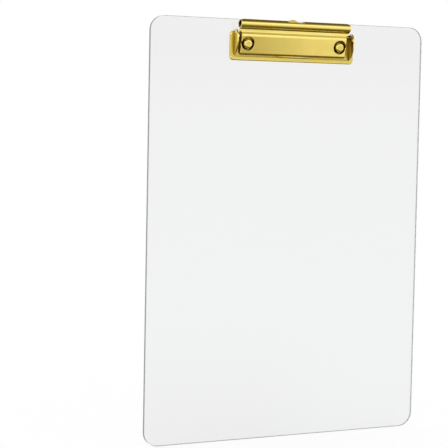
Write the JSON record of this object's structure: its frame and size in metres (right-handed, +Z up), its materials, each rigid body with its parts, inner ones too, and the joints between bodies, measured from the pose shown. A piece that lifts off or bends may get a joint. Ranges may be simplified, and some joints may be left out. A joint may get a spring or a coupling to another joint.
{
  "type": "clipboard",
  "caption": "Clear letter-size clipboard with a low-profile sprung metal clip, rolled finger bar and pull-out hanging tongue.",
  "frame": {"origin": "centre of the board's bottom edge face", "axes": "+Z up the board to the clip, -Y out of the board's front face, +X to the right seen from the front"},
  "size_m": [0.2286, 0.0129, 0.3186],
  "materials": {
    "clear_board": "clear cast acrylic, polished edges",
    "gold_sheet": "polished, gold-coloured plating",
    "gold_lever": "polished, gold-coloured plating",
    "gold_pin": "polished, gold-coloured plating",
    "spring_steel": "drawn spring wire",
    "gold_rivet": "polished, gold-coloured plating",
    "gold_washer": "polished, gold-coloured plating",
    "gold_tongue": "polished, gold-coloured plating"
  },
  "bodies": {
    "clipboard": {"board": "clear_board", "base_plate": "gold_sheet", "hinge_pin": "gold_pin", "torsion_spring_left": "spring_steel", "torsion_spring_right": "spring_steel", "rivet_left": "gold_rivet", "rivet_right": "gold_rivet", "rivet_washer_left": "gold_washer", "rivet_washer_right": "gold_washer"},
    "lever": {"lever_plate": "gold_lever"},
    "hanger": {"hanger_tongue": "gold_tongue"}
  },
  "joints": [
    {"name": "lever_hinge", "type": "hinge", "parent": "clipboard", "child": "lever", "pos_m": [0, -0.0037, 0.3069], "axis": [-1, 0, 0], "range_deg": [0, 11], "stiffness_Nm_per_rad": 0.6, "springref_deg": -28.65, "deforming": ["torsion_spring_left", "torsion_spring_right"]},
    {"name": "hanger_slide", "type": "slide", "parent": "clipboard", "child": "hanger", "axis": [0, 0, 1], "range_m": [0, 0.008]}
  ]
}
